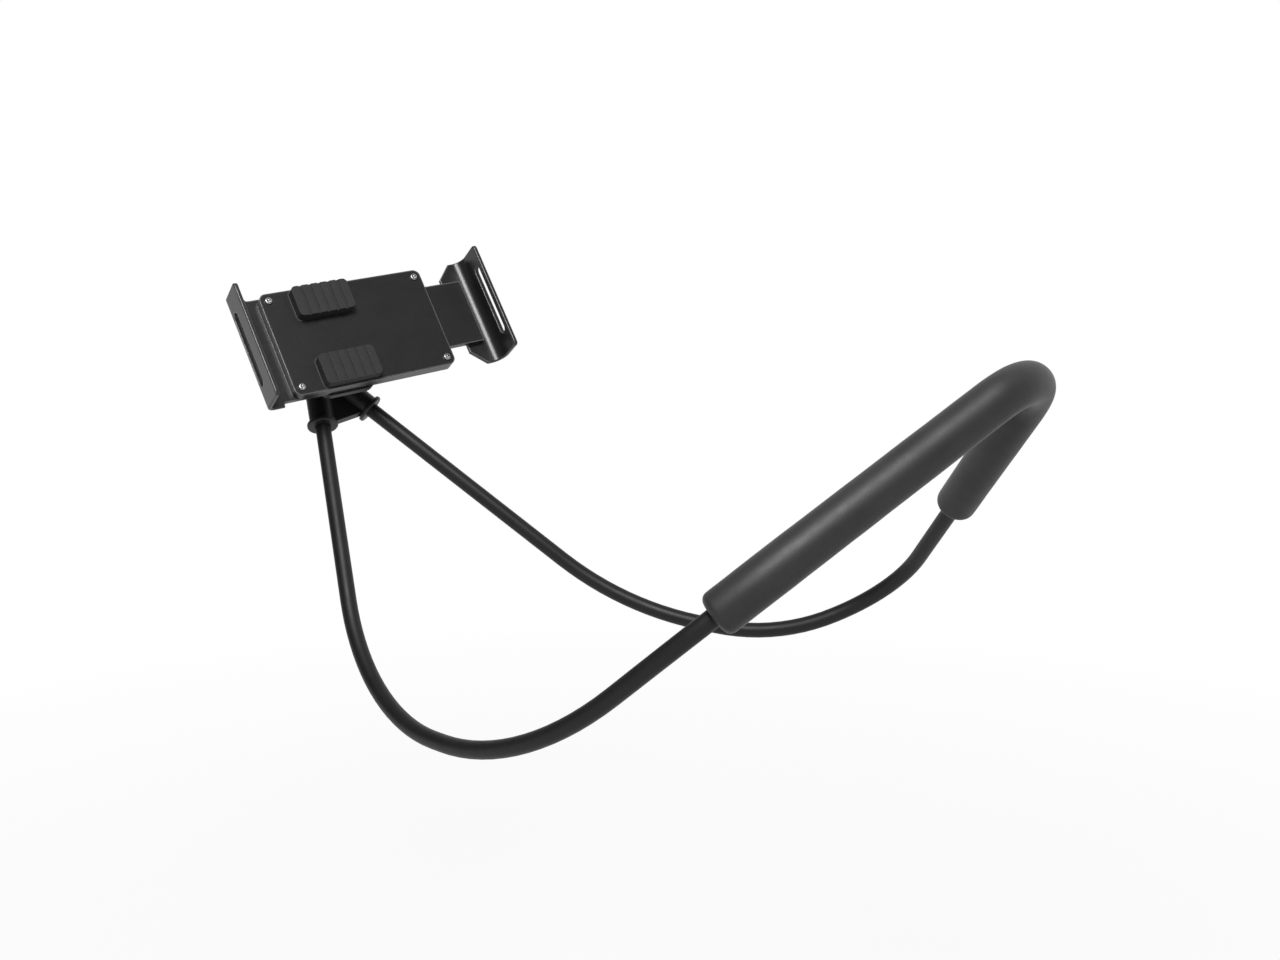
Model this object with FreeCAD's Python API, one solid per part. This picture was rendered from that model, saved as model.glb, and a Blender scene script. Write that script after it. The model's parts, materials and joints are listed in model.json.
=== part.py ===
"""Neck phone holder: a bent gooseneck with a foam neck pad, a yoke with a ball
joint, and a sprung clamp with one fixed and one sliding jaw.

Millimetres. The origin is where the nape meets the inside of the neck pad.
+Y runs from the nape to the clamp, +X to the wearer's right, +Z up.
"""

import FreeCAD, Part

import math
import os

V = FreeCAD.Vector

# Gooseneck arm: one bendable core in a smooth jacket
arm_diameter = 8.5
core_diameter = 5.0
core_clearance = 0.1

# Bend points of the arm and their bend radii, from the yoke's hub round the nape
loop_depth = 420.0
nape_radius = 32.0
nape_corner = V(1, -21, 24)
hub = nape_corner + V(1, loop_depth, -19)
left_bends = [(V(-79, 300, -166), 114), (V(-125, 177, -158), 147), (V(-117, 86, -79), 154)]
nape_bend = (nape_corner, nape_radius)
right_bends = [(V(120, 85, -118), 64), (V(97, 147, -149), 117), (V(77, 236, -136), 158)]

# Foam neck pad, slipped over the arm
pad_diameter = 20.0
pad_bore_clearance = 0.1
pad_left_length = 178.5
pad_right_length = 113.5
pad_end_round = 3.6
pad_end_straight = 5.0

# Yoke: two sockets in a V, a web between them and a neck for the ball
socket_length = 42.0
socket_bore_clearance = 0.1
socket_floor_from_hub = 16.0
socket_mouth_diameter = 13.8
socket_root_diameter = 14.8
hub_radius = 11.0
hub_top = 8.0
hub_bottom = -8.2
hub_top_chamfer = 2.0
hub_bottom_chamfer = 1.0
web_thickness = 5.0
web_collar_gap = 0.3
web_reach = 7.4
neck_diameter = 7.0
neck_flare = 3.0

# Flanged collars in the socket mouths
collar_flange_diameter = 17.2
collar_flange_thickness = 2.4
collar_spigot_wall = 1.0
collar_spigot_length = 6.0
collar_fit = 0.05

# Grub screws that hold the arm's ends
grub_diameter = 4.0
grub_length = 2.4
grub_from_mouth = 15.0
grub_hex = 2.0
grub_hex_depth = 1.4

# Ball and the screw that holds it on the yoke's neck
ball_diameter = 16.0
stud_height = 21.0
ball_screw_diameter = 4.0
ball_screw_head_diameter = 7.2
ball_screw_head_height = 3.2
ball_screw_reach = 5.0
ball_screw_hex = 3.0
ball_screw_hex_depth = 1.8
ball_screw_fit = 0.05
screw_head_clearance = 0.1

# Ball joint: how the clamp is turned on the ball
clamp_yaw = -30.3
clamp_tilt = -28.7
clamp_spin = -10.1

# Ball socket on the clamp's back
ball_from_seat_centre = -24.5
ball_height_on_clamp = 4.0
ball_behind_frame = 12.0
ball_clearance = 0.1
socket_lip_beyond_ball = 3.8
boss_diameter = 21.0
boss_slot_width = 1.2
boss_slot_count = 4
boss_slot_floor = 2.0
housing_width = 33.0
housing_height = 64.0
housing_thickness = 5.0
housing_corner = 6.0
housing_chamfer = 1.0
housing_screw_inset = 4.0

# Lock ring on the socket's boss
ring_running_fit = 0.1
ring_wall = 2.9
ring_lip_thickness = 1.2
ring_lip_gap = 0.15
ring_mouth_diameter = 14.8
ring_base_gap = 0.6
ring_grip_count = 18
ring_grip_diameter = 2.6
ring_edge_chamfer = 0.8

# Clamp frame with the fixed jaw
jaw_span = 148.6
jaw_height = 66.7
jaw_depth = 23.0
jaw_wall = 2.4
plate_thickness = 2.2
fixed_jaw_corner = 5.0
jaw_end_round = 2.0
jaw_edge_round = 0.7
frame_end = 40.0
frame_waist_start = -64.0
frame_waist_round = 4.0
slot_length = 44.0
fixed_slot_width = 7.0
fixed_slot_from_front = 14.0

# Flat box on the frame that holds the slide, under the seat plate
box_start = -58.0
box_height = 62.0
box_wall = 1.8
box_corner = 4.0
seat_from_front = 15.5
seat_plate_thickness = 1.5
channel_rib = 1.6
screw_boss_diameter = 5.2
seat_screw_inset = 4.6

# Pan head screws of the clamp, all of one size
screw_diameter = 2.2
screw_head_diameter = 4.2
screw_head_height = 1.3
seat_screw_length = 4.6
housing_screw_length = 7.2
screw_cross_width = 0.7
screw_cross_depth = 0.7

# Rest pads glued in shallow recesses of the seat plate, behind the held device
rest_pad_length = 33.0
rest_pad_width = 18.0
rest_pad_height = 6.0
rest_pad_recess = 0.5
rest_pad_fit = 0.1
rest_pad_corner = 2.5
rest_pad_spacing = 42.0
rest_rib_count = 6
rest_rib_depth = 0.8

# Sliding jaw
sliding_jaw_corner = 9.0
sliding_slot_width = 6.0
sliding_slot_from_front = 6.4
foot_width = 20.0
foot_chamfer = 9.0
tongue_width = 40.0
tongue_end = -10.0
tongue_clearance = 0.3
tongue_root = 10.0
tongue_corner = 3.0

# Tension springs between a post on the frame and a post on the tongue
spring_diameter = 3.2
spring_wire = 0.6
spring_spacing = 24.0
spring_turns = 12
frame_post_x = -51.0
post_diameter = 1.8
post_from_tongue_end = 2.6
post_clearance = 0.3
spring_end_gap = 0.2


def unit(vector):
    return vector * (1.0 / vector.Length)


def box(x0, x1, y0, y1, z0, z1):
    return Part.makeBox(x1 - x0, y1 - y0, z1 - z0, V(x0, y0, z0))


def fuse(shapes):
    return shapes[0].multiFuse(shapes[1:]).removeSplitter()


def cut(shape, tools):
    return shape.cut(tools) if tools else shape


def wire_of(corners):
    return Part.makePolygon(corners + corners[:1])


def rounded_plate(x0, x1, z0, z1, y0, y1, corner):
    """A plate in the XZ plane with round corners."""
    plate = box(x0, x1, y0, y1, z0, z1)
    upright = [e for e in plate.Edges if abs(e.tangentAt(e.FirstParameter).y) > 0.99]
    return plate.makeFillet(corner, upright)


def stadium(length, width, centre_y, x0, x1):
    """A slot tool along Z that runs through a wall from x0 to x1."""
    half = length / 2 - width / 2
    middle = box(x0, x1, centre_y - width / 2, centre_y + width / 2, -half, half)
    ends = [
        Part.makeCylinder(width / 2, x1 - x0, V(x0, centre_y, z), V(1, 0, 0)) for z in (-half, half)
    ]
    return fuse([middle] + ends)


# The arm's route: straight runs and tangent arcs


def bend_route(start, bends, finish):
    """Straight runs and arcs through the bends, as a list of pieces."""
    points = [start] + [b[0] for b in bends] + [finish]
    pieces = []
    here = start
    for i, (corner, radius) in enumerate(bends):
        back, ahead = points[i] - corner, points[i + 2] - corner
        turn = math.pi - back.getAngle(ahead)
        room = 0.499 * min(back.Length, ahead.Length)
        reach = min(radius * math.tan(turn / 2), room)
        bend_radius = reach / math.tan(turn / 2)
        arc_start = corner + unit(back) * reach
        axis = unit((corner - arc_start).cross(ahead))
        inward = axis.cross(unit(corner - arc_start))
        pieces.append({"from": here, "along": unit(arc_start - here), "length": (arc_start - here).Length})
        pieces.append(
            {
                "from": arc_start,
                "along": unit(corner - arc_start),
                "length": bend_radius * turn,
                "centre": arc_start + inward * bend_radius,
                "axis": axis,
                "radius": bend_radius,
            }
        )
        here = corner + unit(ahead) * reach
    pieces.append({"from": here, "along": unit(finish - here), "length": (finish - here).Length})
    return pieces


def turned(piece, vector, distance):
    """A vector of an arc's start, turned to where the arc has run a distance."""
    angle = math.degrees(distance / piece["radius"])
    return FreeCAD.Rotation(piece["axis"], angle).multVec(vector)


def part_of_piece(piece, start, finish):
    """The stretch of a piece between two distances along it."""
    cut_piece = dict(piece, length=finish - start)
    if "centre" in piece:
        cut_piece["from"] = piece["centre"] + turned(piece, piece["from"] - piece["centre"], start)
        cut_piece["along"] = turned(piece, piece["along"], start)
    else:
        cut_piece["from"] = piece["from"] + piece["along"] * start
    return cut_piece


def part_of_route(pieces, start, finish):
    """The stretch of a route between two distances along it."""
    kept = []
    run = 0.0
    for piece in pieces:
        first = max(start - run, 0.0)
        last = min(finish - run, piece["length"])
        if last - first > 1e-6:
            kept.append(part_of_piece(piece, first, last))
        run += piece["length"]
    return kept


def tube(pieces, outer_diameter, inner_diameter=0.0):
    """A round tube or rod along a route."""
    solids = []
    for piece in pieces:
        ring = Part.Wire(Part.makeCircle(outer_diameter / 2, piece["from"], piece["along"]))
        face = Part.Face(ring)
        if inner_diameter:
            hole = Part.Wire(Part.makeCircle(inner_diameter / 2, piece["from"], piece["along"]))
            face = face.cut(Part.Face(hole))
        if "centre" in piece:
            angle = math.degrees(piece["length"] / piece["radius"])
            solids.append(face.revolve(piece["centre"], piece["axis"], angle))
        else:
            solids.append(face.extrude(piece["along"] * piece["length"]))
    solids = [s.Solids[0] for s in solids]
    return fuse(solids).Solids[0]


left_down = unit(left_bends[0][0] - hub)
right_down = unit(right_bends[-1][0] - hub)
arm_start = hub + left_down * socket_floor_from_hub
arm_finish = hub + right_down * socket_floor_from_hub
arm_route = bend_route(arm_start, left_bends + [nape_bend] + right_bends, arm_finish)
nape_piece = 2 * len(left_bends) + 1
nape_distance = sum(p["length"] for p in arm_route[:nape_piece]) + arm_route[nape_piece]["length"] / 2
arm_length = sum(p["length"] for p in arm_route)


def arm_core():
    return tube(arm_route, core_diameter)


def arm_jacket():
    return tube(arm_route, arm_diameter, core_diameter + 2 * core_clearance)


def neck_pad():
    """Foam tube with rounded ends, its last stretch at each end straight."""
    first = nape_distance - pad_left_length
    last = nape_distance + pad_right_length
    route = part_of_route(arm_route, first + pad_end_straight, last - pad_end_straight)
    after_last = part_of_route(arm_route, last - pad_end_straight, last)[0]
    ends = [
        dict(route[0], length=pad_end_straight, along=route[0]["along"] * -1),
        dict(after_last, length=pad_end_straight),
    ]
    for end in ends:
        end.pop("centre", None)
    pad = tube(route + ends, pad_diameter)
    rims = []
    for edge in pad.Edges:
        flat = [f for f in pad.ancestorsOfType(edge, Part.Face) if isinstance(f.Surface, Part.Plane)]
        if flat:
            rims.append(edge)
    pad = pad.makeFillet(pad_end_round, rims)
    bore_route = part_of_route(arm_route, first - pad_end_straight, last + pad_end_straight)
    return pad.cut(tube(bore_route, arm_diameter + 2 * pad_bore_clearance)).Solids[0]


# Yoke: its own Z is the ball's neck, its -Y runs down between the sockets

yoke_z = unit(left_down.cross(right_down))
yoke_y = unit(left_down + right_down) * -1.0
yoke_x = yoke_y.cross(yoke_z)
socket_angle = math.degrees(left_down.getAngle(right_down)) / 2
yoke_frame = FreeCAD.Placement(
    FreeCAD.Matrix(
        yoke_x.x, yoke_y.x, yoke_z.x, hub.x,
        yoke_x.y, yoke_y.y, yoke_z.y, hub.y,
        yoke_x.z, yoke_y.z, yoke_z.z, hub.z,
        0, 0, 0, 1,
    )
)
socket_directions = [
    V(side * math.sin(math.radians(socket_angle)), -math.cos(math.radians(socket_angle)), 0)
    for side in (-1, 1)
]
ball_flat = math.sqrt((ball_diameter / 2) ** 2 - (neck_diameter / 2) ** 2)
neck_top = stud_height - ball_flat
socket_end = socket_length - collar_flange_thickness
spigot_diameter = arm_diameter + 2 * socket_bore_clearance + 2 * collar_spigot_wall


def in_yoke(shape):
    return shape.transformed(yoke_frame.toMatrix(), True)


def yoke():
    solids = []
    bores = []
    mouths = []
    for along in socket_directions:
        length = socket_end
        root_radius, mouth_radius = socket_root_diameter / 2, socket_mouth_diameter / 2
        solids.append(Part.makeCone(root_radius, mouth_radius, length, V(), along))
        bore_start = along * socket_floor_from_hub
        bore_radius = arm_diameter / 2 + socket_bore_clearance
        bores.append(Part.makeCylinder(bore_radius, length, bore_start, along))
        spigot_start = along * (socket_end - collar_spigot_length)
        bores.append(Part.makeCylinder(spigot_diameter / 2 + collar_fit, length, spigot_start, along))
        grub_centre = along * (socket_length - grub_from_mouth)
        bores.append(Part.makeCylinder(grub_diameter / 2, socket_root_diameter, grub_centre, V(0, 0, -1)))
        web_end = along * (socket_end - web_collar_gap)
        inward = unit(V(-along.y * along.x, along.x * along.x, 0)) * -1
        mouths.append([web_end, web_end + inward * web_reach])
    web = Part.Face(wire_of([V()] + mouths[0] + mouths[1][::-1]))
    solids.append(web.extrude(V(0, 0, web_thickness)).translated(V(0, 0, -web_thickness / 2)))
    half_hub = [
        V(0, 0, hub_bottom),
        V(hub_radius - hub_bottom_chamfer, 0, hub_bottom),
        V(hub_radius, 0, hub_bottom + hub_bottom_chamfer),
        V(hub_radius, 0, hub_top - hub_top_chamfer),
        V(hub_radius - hub_top_chamfer, 0, hub_top),
        V(neck_diameter / 2 + neck_flare, 0, hub_top),
        V(neck_diameter / 2, 0, hub_top + neck_flare),
        V(neck_diameter / 2, 0, neck_top),
        V(0, 0, neck_top),
    ]
    solids.append(Part.Face(wire_of(half_hub)).revolve(V(), V(0, 0, 1), 360))
    head_depth = ball_screw_head_height + screw_head_clearance
    shank_radius = ball_screw_diameter / 2 + ball_screw_fit
    bores.append(Part.makeCylinder(shank_radius, stud_height * 2, V(0, 0, -stud_height)))
    head_radius = ball_screw_head_diameter / 2 + screw_head_clearance
    bores.append(Part.makeCylinder(head_radius, head_depth, V(0, 0, hub_bottom)))
    return in_yoke(cut(fuse(solids), bores).Solids[0])


def collar(along):
    flange_radius = collar_flange_diameter / 2
    flange = Part.makeCylinder(flange_radius, collar_flange_thickness, along * socket_end, along)
    edges = [e for e in flange.Edges if isinstance(e.Curve, Part.Circle)]
    flange = flange.makeFillet(collar_flange_thickness / 3, edges)
    spigot_start = along * (socket_end - collar_spigot_length + collar_fit)
    spigot = Part.makeCylinder(spigot_diameter / 2, collar_spigot_length, spigot_start, along)
    bore_radius = arm_diameter / 2 + socket_bore_clearance
    bore = Part.makeCylinder(bore_radius, socket_length, along * socket_floor_from_hub, along)
    return in_yoke(fuse([flange, spigot]).cut(bore).Solids[0])


def hex_socket(across, depth, centre, along):
    radius = across / 2 / math.cos(math.radians(30))
    turns = [math.radians(angle) for angle in range(0, 360, 60)]
    corners = [V(radius * math.cos(turn), radius * math.sin(turn), 0) for turn in turns]
    tool = Part.Face(wire_of(corners)).extrude(V(0, 0, depth))
    turn = FreeCAD.Rotation(V(0, 0, 1), along)
    return tool.transformed(FreeCAD.Placement(centre, turn).toMatrix(), True)


def arm_grub_screws():
    screws = []
    for along in socket_directions:
        top = along * (socket_length - grub_from_mouth) - V(0, 0, arm_diameter / 2)
        screw = Part.makeCylinder(grub_diameter / 2, grub_length, top, V(0, 0, -1))
        hollow = hex_socket(grub_hex, grub_hex_depth, top - V(0, 0, grub_length), V(0, 0, 1))
        screws.append(in_yoke(screw.cut(hollow)))
    return Part.makeCompound(screws)


def ball():
    sphere = Part.makeSphere(ball_diameter / 2, V(0, 0, stud_height))
    below = Part.makeCylinder(ball_diameter, ball_diameter, V(0, 0, neck_top - ball_diameter))
    bore_top = stud_height + ball_screw_reach
    bore = Part.makeCylinder(ball_screw_diameter / 2 + ball_screw_fit, bore_top, V())
    return in_yoke(sphere.cut([below, bore]).Solids[0])


def ball_screw():
    head_top = hub_bottom + screw_head_clearance + ball_screw_head_height
    head_bottom = V(0, 0, head_top - ball_screw_head_height)
    head = Part.makeCylinder(ball_screw_head_diameter / 2, ball_screw_head_height, head_bottom)
    shank_length = stud_height + ball_screw_reach - ball_screw_fit - head_top
    shank = Part.makeCylinder(ball_screw_diameter / 2, shank_length, V(0, 0, head_top))
    hollow = hex_socket(ball_screw_hex, ball_screw_hex_depth, head_bottom, V(0, 0, 1))
    return in_yoke(fuse([head, shank]).cut(hollow).Solids[0])


# Clamp: X runs along the seat to the sliding jaw, Y to the back, Z up.
# Y is 0 at the jaws' front edges and X is 0 half way between the jaws.

ball_on_clamp = V(ball_from_seat_centre, jaw_depth + ball_behind_frame, ball_height_on_clamp)
clamp_turn = FreeCAD.Rotation(V(0, 0, 1), clamp_yaw)
clamp_turn = clamp_turn.multiply(FreeCAD.Rotation(V(1, 0, 0), clamp_tilt))
clamp_turn = clamp_turn.multiply(FreeCAD.Rotation(V(0, 1, 0), clamp_spin))
ball_centre = hub + yoke_z * stud_height
clamp_frame = FreeCAD.Placement(ball_centre - clamp_turn.multVec(ball_on_clamp), clamp_turn)

half_span = jaw_span / 2
half_jaw = jaw_height / 2
plate_front = jaw_depth - plate_thickness
seat_back = seat_from_front + seat_plate_thickness
channel_half = tongue_width / 2 + tongue_clearance
housing_back = jaw_depth + housing_thickness
boss_end = ball_on_clamp.y + socket_lip_beyond_ball
seat_screw_places = [
    (x, side * (box_height / 2 - seat_screw_inset))
    for x in (box_start + seat_screw_inset, frame_end - seat_screw_inset)
    for side in (-1, 1)
]
housing_screw_x = housing_width / 2 - housing_screw_inset
housing_screw_z = housing_height / 2 - housing_screw_inset
housing_screw_places = [
    (ball_on_clamp.x + x, z)
    for x in (-housing_screw_x, housing_screw_x)
    for z in (-housing_screw_z, housing_screw_z)
]
spring_rows = [spring_spacing / 2, -spring_spacing / 2]
spring_axis_y = (seat_back + plate_front) / 2


def in_clamp(shape):
    return shape.transformed(clamp_frame.toMatrix(), True)


def jaw_profile(foot_length, corner):
    """An L in the XY plane: a wall on X 0 and a foot towards +X."""
    inner_round = corner - jaw_wall
    diagonal = 1 - math.sqrt(0.5)
    edges = [
        Part.makeLine(V(0, 0, 0), V(jaw_wall, 0, 0)),
        Part.makeLine(V(jaw_wall, 0, 0), V(jaw_wall, plate_front - inner_round, 0)),
        Part.Arc(
            V(jaw_wall, plate_front - inner_round, 0),
            V(jaw_wall + inner_round * diagonal, plate_front - inner_round * diagonal, 0),
            V(corner, plate_front, 0),
        ).toShape(),
        Part.makeLine(V(corner, plate_front, 0), V(foot_length, plate_front, 0)),
        Part.makeLine(V(foot_length, plate_front, 0), V(foot_length, jaw_depth, 0)),
        Part.makeLine(V(foot_length, jaw_depth, 0), V(corner, jaw_depth, 0)),
        Part.Arc(
            V(corner, jaw_depth, 0),
            V(corner * diagonal, jaw_depth - corner * diagonal, 0),
            V(0, jaw_depth - corner, 0),
        ).toShape(),
        Part.makeLine(V(0, jaw_depth - corner, 0), V(0, 0, 0)),
    ]
    return Part.Face(Part.Wire(edges))


def jaw(foot_length, corner):
    """An L-shaped jaw with its wall's front corners rounded and its edges eased."""
    solid = jaw_profile(foot_length, corner).extrude(V(0, 0, jaw_height)).translated(V(0, 0, -half_jaw))
    front_corners = [
        e for e in solid.Edges
        if abs(e.CenterOfMass.y) < 1e-6 and abs(abs(e.CenterOfMass.z) - half_jaw) < 1e-6
    ]
    solid = solid.makeFillet(jaw_end_round, front_corners)
    front_edges = [
        e for e in solid.Edges
        if abs(e.CenterOfMass.y) < 1e-6 and abs(e.CenterOfMass.z) < 1e-6
    ]
    return solid.makeFillet(jaw_edge_round, front_edges)


def waist_cuts():
    """Tools that narrow the frame's plate to the box beyond the jaw, with the box's round corners."""
    tools = []
    front, back = plate_front - 1, jaw_depth + 1
    half_box = box_height / 2
    corner_x, corner_z = frame_end - box_corner, half_box - box_corner
    for side in (-1, 1):
        z0, z1 = sorted((side * half_box, side * (half_jaw + 1)))
        strip = box(frame_waist_start, frame_end + 1, front, back, z0, z1)
        inner = [
            e for e in strip.Edges
            if abs(e.CenterOfMass.x - frame_waist_start) < 1e-6 and abs(abs(e.CenterOfMass.z) - half_box) < 1e-6
        ]
        tools.append(strip.makeFillet(min(frame_waist_round, (z1 - z0) / 2), inner))
        z0, z1 = sorted((side * corner_z, side * (half_box + 1)))
        shoulder = box(corner_x, frame_end + 1, front, back, z0, z1)
        round_corner = Part.makeCylinder(box_corner, back - front, V(corner_x, front, side * corner_z), V(0, 1, 0))
        tools.append(shoulder.cut(round_corner))
    return tools


def fixed_jaw():
    solid = jaw(frame_end + half_span, fixed_jaw_corner).translated(V(-half_span, 0, 0))
    half_box = box_height / 2
    solid = solid.cut(waist_cuts())
    rim = rounded_plate(box_start, frame_end, -half_box, half_box, seat_back, jaw_depth, box_corner)
    pocket_corner = box_corner - box_wall
    pocket = rounded_plate(
        box_start + box_wall, frame_end - box_wall, -half_box + box_wall, half_box - box_wall,
        seat_back, plate_front, pocket_corner,
    )
    rib_sides = [channel_half, -channel_half - channel_rib]
    ribs = [
        box(box_start + box_wall / 2, frame_end - box_wall / 2, seat_back, jaw_depth, z, z + channel_rib)
        for z in rib_sides
    ]
    bosses = [
        Part.makeCylinder(screw_boss_diameter / 2, jaw_depth - seat_back, V(x, seat_back, z), V(0, 1, 0))
        for x, z in seat_screw_places + housing_screw_places
    ]
    posts = [
        Part.makeCylinder(post_diameter / 2, jaw_depth - seat_back - post_clearance,
                          V(frame_post_x, seat_back + post_clearance, z), V(0, 1, 0))
        for z in spring_rows
    ]
    solid = fuse([solid, rim.cut(pocket)] + ribs + bosses + posts)
    inside = frame_end - 2 * box_wall
    way_out = box(inside, frame_end + 1, seat_back, plate_front, -channel_half, channel_half)
    outside, inside = -half_span - 1, -half_span + jaw_wall + 1
    slot = stadium(slot_length, fixed_slot_width, fixed_slot_from_front, outside, inside)
    seat_holes = [
        Part.makeCylinder(screw_diameter / 2, seat_screw_length, V(x, seat_from_front, z), V(0, 1, 0))
        for x, z in seat_screw_places
    ]
    head_seat = housing_back - screw_head_height
    housing_holes = [
        Part.makeCylinder(screw_diameter / 2, housing_screw_length, V(x, head_seat, z), V(0, -1, 0))
        for x, z in housing_screw_places
    ]
    return in_clamp(cut(solid, [way_out, slot] + seat_holes + housing_holes).Solids[0])


def rest_pad_block(side, depth, grow=0.0):
    """The block of a rest pad from its recess floor towards the front."""
    floor = seat_from_front + rest_pad_recess
    half_length = rest_pad_length / 2 + grow
    half_width = rest_pad_width / 2 + grow
    x, z = ball_on_clamp.x, side * rest_pad_spacing / 2
    return rounded_plate(
        x - half_length, x + half_length, z - half_width, z + half_width,
        floor - depth, floor, rest_pad_corner + grow,
    )


def seat_plate():
    half_box = box_height / 2
    plate = rounded_plate(box_start, frame_end, -half_box, half_box, seat_from_front, seat_back, box_corner)
    recesses = [rest_pad_block(side, rest_pad_recess + 1, rest_pad_fit) for side in (-1, 1)]
    holes = [
        Part.makeCylinder(screw_diameter / 2, seat_plate_thickness, V(x, seat_from_front, z), V(0, 1, 0))
        for x, z in seat_screw_places
    ]
    return in_clamp(cut(plate, recesses + holes).Solids[0])


def rest_pad(side):
    """A block of soft rubber with shallow grooves across its front."""
    pad = rest_pad_block(side, rest_pad_recess + rest_pad_height)
    front = seat_from_front - rest_pad_height
    pitch = rest_pad_length / rest_rib_count
    z = side * rest_pad_spacing / 2
    bottom, top = z - rest_pad_width, z + rest_pad_width
    grooves = []
    for i in range(1, rest_rib_count):
        x = ball_on_clamp.x - rest_pad_length / 2 + i * pitch
        start, finish = x - pitch / 6, x + pitch / 6
        grooves.append(box(start, finish, front - 1, front + rest_rib_depth, bottom, top))
    return in_clamp(cut(pad, grooves).Solids[0])


def pan_screw(x, head_y, z, along, length):
    """A cross-head screw whose head rests at head_y, driven along Y."""
    head = Part.makeCylinder(screw_head_diameter / 2, screw_head_height, V(x, head_y, z), V(0, -along, 0))
    rim = [e for e in head.Edges if abs(e.CenterOfMass.y - (head_y - along * screw_head_height)) < 1e-6]
    head = head.makeFillet(screw_head_height * 0.6, rim)
    shank = Part.makeCylinder(screw_diameter / 2, length, V(x, head_y, z), V(0, along, 0))
    top = head_y - along * screw_head_height
    reach = screw_head_diameter * 0.3
    y0, y1 = sorted((top - along, top + along * screw_cross_depth))
    cross = [
        box(x - reach, x + reach, y0, y1, z - screw_cross_width / 2, z + screw_cross_width / 2),
        box(x - screw_cross_width / 2, x + screw_cross_width / 2, y0, y1, z - reach, z + reach),
    ]
    return fuse([head, shank]).cut(cross).Solids[0]


def plate_screws():
    screws = [pan_screw(x, seat_from_front, z, 1, seat_screw_length) for x, z in seat_screw_places]
    return in_clamp(Part.makeCompound(screws))


def housing_screws():
    seat = housing_back - screw_head_height
    screws = [pan_screw(x, seat, z, -1, housing_screw_length) for x, z in housing_screw_places]
    return in_clamp(Part.makeCompound(screws))


def sliding_jaw():
    wall_and_foot = jaw(foot_width, sliding_jaw_corner)
    corners = []
    for side in (-1, 1):
        tip = V(foot_width, 0, side * half_jaw)
        ends = [tip - V(foot_chamfer, 0, 0), tip - V(0, 0, side * foot_chamfer)]
        corners.append(Part.Face(wire_of([tip] + ends)).extrude(V(0, jaw_depth + 1, 0)))
    wall_and_foot = wall_and_foot.cut(corners)
    wall_and_foot = wall_and_foot.mirror(V(), V(1, 0, 0)).translated(V(half_span, 0, 0))
    foot_start = half_span - foot_width
    front = seat_back + tongue_clearance
    back = plate_front - tongue_clearance
    half_tongue = tongue_width / 2
    root_end = foot_start + tongue_root
    tongue = rounded_plate(tongue_end, root_end, -half_tongue, half_tongue, front, back, tongue_corner)
    root = box(foot_start, root_end, front, jaw_depth, -half_tongue, half_tongue)
    post_x = tongue_end + post_from_tongue_end
    notch_reach = post_x + spring_diameter / 2 + post_clearance
    notches = [
        box(tongue_end - 1, notch_reach, front - 1, back + 1, z - spring_diameter / 2 - post_clearance,
            z + spring_diameter / 2 + post_clearance)
        for z in spring_rows
    ]
    post_length = spring_diameter + 2
    posts = [
        Part.makeCylinder(post_diameter / 2, post_length, V(post_x, spring_axis_y, z - post_length / 2))
        for z in spring_rows
    ]
    inside, outside = half_span - jaw_wall - 1, half_span + 1
    slot = stadium(slot_length, sliding_slot_width, sliding_slot_from_front, inside, outside)
    solid = fuse([wall_and_foot, tongue.cut(notches), root] + posts)
    return in_clamp(solid.cut(slot).Solids[0])


def tension_spring(z):
    """Round wire wound between the frame's post and the tongue's post."""
    start = frame_post_x + post_diameter / 2 + spring_wire / 2 + spring_end_gap
    finish = tongue_end + post_from_tongue_end - post_diameter / 2 - spring_wire / 2 - spring_end_gap
    coil_radius = (spring_diameter - spring_wire) / 2
    length = finish - start
    helix = Part.makeHelix(length / spring_turns, length, coil_radius)
    section = Part.Wire(Part.makeCircle(spring_wire / 2, V(coil_radius, 0, 0), V(0, 1, 0)))
    coil = Part.Wire(helix).makePipeShell([section], True, True)
    lay_down = FreeCAD.Placement(V(start, spring_axis_y, z), FreeCAD.Rotation(V(0, 0, 1), V(1, 0, 0)))
    return in_clamp(coil.transformed(lay_down.toMatrix(), True))


def socket_housing():
    x, z = ball_on_clamp.x, ball_on_clamp.z
    half_width, half_height = housing_width / 2, housing_height / 2
    block = rounded_plate(
        x - half_width, x + half_width, -half_height, half_height, jaw_depth, housing_back, housing_corner
    )
    back_edges = [e for e in block.Edges if abs(e.BoundBox.YMin - housing_back) < 1e-6]
    block = block.makeChamfer(housing_chamfer, back_edges)
    boss = Part.makeCylinder(boss_diameter / 2, boss_end - jaw_depth, V(x, jaw_depth, z), V(0, 1, 0))
    cavity = Part.makeSphere(ball_diameter / 2 + ball_clearance, ball_on_clamp)
    slot_start = housing_back + boss_slot_floor
    slots = []
    for i in range(boss_slot_count // 2):
        tool = box(-boss_diameter, boss_diameter, 0, boss_end, -boss_slot_width / 2, boss_slot_width / 2)
        turn = FreeCAD.Rotation(V(0, 1, 0), 45 + 90 * i)
        slots.append(tool.transformed(FreeCAD.Placement(V(x, slot_start, z), turn).toMatrix(), True))
    holes = []
    for hole_x, hole_z in housing_screw_places:
        hole_start = V(hole_x, jaw_depth, hole_z)
        holes.append(Part.makeCylinder(screw_diameter / 2, housing_thickness, hole_start, V(0, 1, 0)))
        head_seat = V(hole_x, housing_back - screw_head_height, hole_z)
        head_radius = screw_head_diameter / 2 + screw_head_clearance
        holes.append(Part.makeCylinder(head_radius, housing_thickness, head_seat, V(0, 1, 0)))
    return in_clamp(cut(fuse([block, boss]), [cavity] + slots + holes).Solids[0])


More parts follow.
